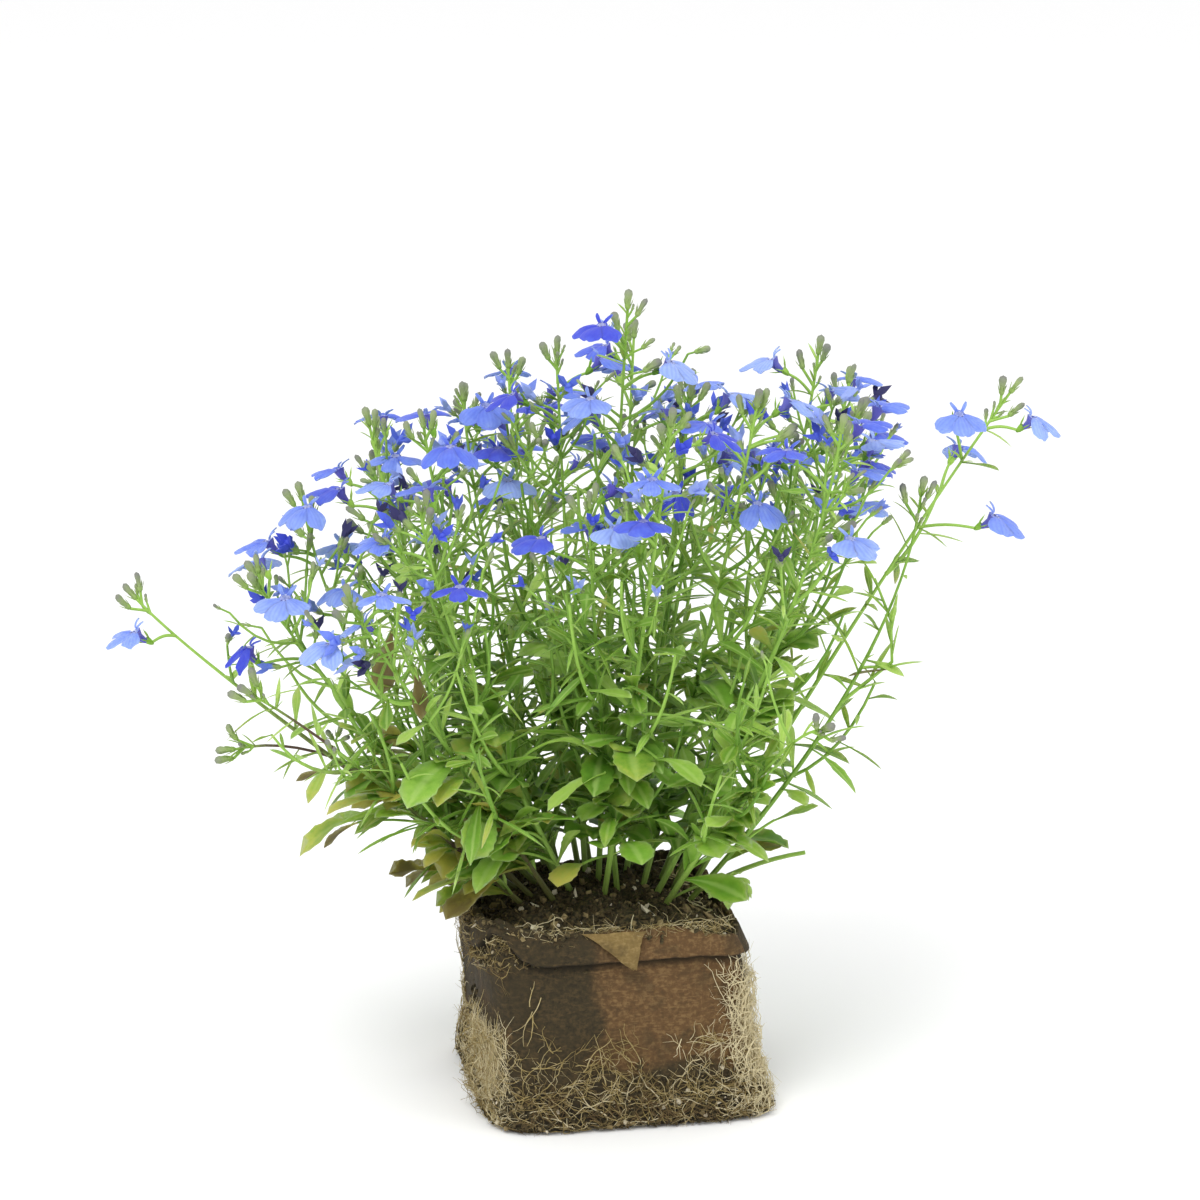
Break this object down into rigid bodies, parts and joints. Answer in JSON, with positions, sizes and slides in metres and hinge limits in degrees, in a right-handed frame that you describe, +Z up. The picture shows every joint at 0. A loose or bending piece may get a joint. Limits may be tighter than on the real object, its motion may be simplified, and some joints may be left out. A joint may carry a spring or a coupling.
{
  "type": "trailing lobelia in a fibre pot",
  "caption": "Bushy trailing lobelia in blue flower, leaning out on all sides from a square fibre pot of peat with roots grown through its wall.",
  "frame": {"origin": "middle of the flat underside of the fibre pot", "axes": "+Z up along the plant, -Y to the pot's front wall, +X to the right seen from the front"},
  "size_m": [0.2548, 0.1717, 0.227],
  "materials": {
    "fibre": "soft pressed wood fibre, damp, dark brown with olive stains",
    "peat": "moist crumbly peat, near black brown with pale flecks",
    "root": "fine cream roots, matt",
    "foliage": "fresh mid green leaves and stems, soft sheen",
    "flower": "thin matt violet blue petals with a white eye, grey green buds"
  },
  "bodies": {
    "root": {"fibre_pot": "fibre", "peat_block": "peat", "root_net": "root", "leafy_stem_01": "foliage", "leafy_stem_02": "foliage", "leafy_stem_03": "foliage", "leafy_stem_04": "foliage", "leafy_stem_05": "foliage", "leafy_stem_06": "foliage", "leafy_stem_07": "foliage", "leafy_stem_08": "foliage", "leafy_stem_09": "foliage", "leafy_stem_10": "foliage", "leafy_stem_11": "foliage", "leafy_stem_12": "foliage", "leafy_stem_13": "foliage", "leafy_stem_14": "foliage", "leafy_stem_15": "foliage", "leafy_stem_16": "foliage", "leafy_stem_17": "foliage", "leafy_stem_18": "foliage", "leafy_stem_19": "foliage", "leafy_stem_20": "foliage", "leafy_stem_21": "foliage", "leafy_stem_22": "foliage", "leafy_stem_23": "foliage", "leafy_stem_24": "foliage", "leafy_stem_25": "foliage", "leafy_stem_26": "foliage", "leafy_stem_27": "foliage", "leafy_stem_28": "foliage", "leafy_stem_29": "foliage", "leafy_stem_30": "foliage", "leafy_stem_31": "foliage", "flower_spray_01": "flower", "flower_spray_02": "flower", "flower_spray_03": "flower", "flower_spray_04": "flower", "flower_spray_05": "flower", "flower_spray_06": "flower", "flower_spray_07": "flower", "flower_spray_08": "flower", "flower_spray_09": "flower", "flower_spray_10": "flower", "flower_spray_11": "flower", "flower_spray_12": "flower", "flower_spray_13": "flower", "flower_spray_14": "flower", "flower_spray_15": "flower", "flower_spray_16": "flower", "flower_spray_17": "flower", "flower_spray_18": "flower", "flower_spray_19": "flower", "flower_spray_20": "flower", "flower_spray_21": "flower", "flower_spray_22": "flower", "flower_spray_23": "flower", "flower_spray_24": "flower", "flower_spray_25": "flower", "flower_spray_26": "flower"}
  },
  "joints": []
}
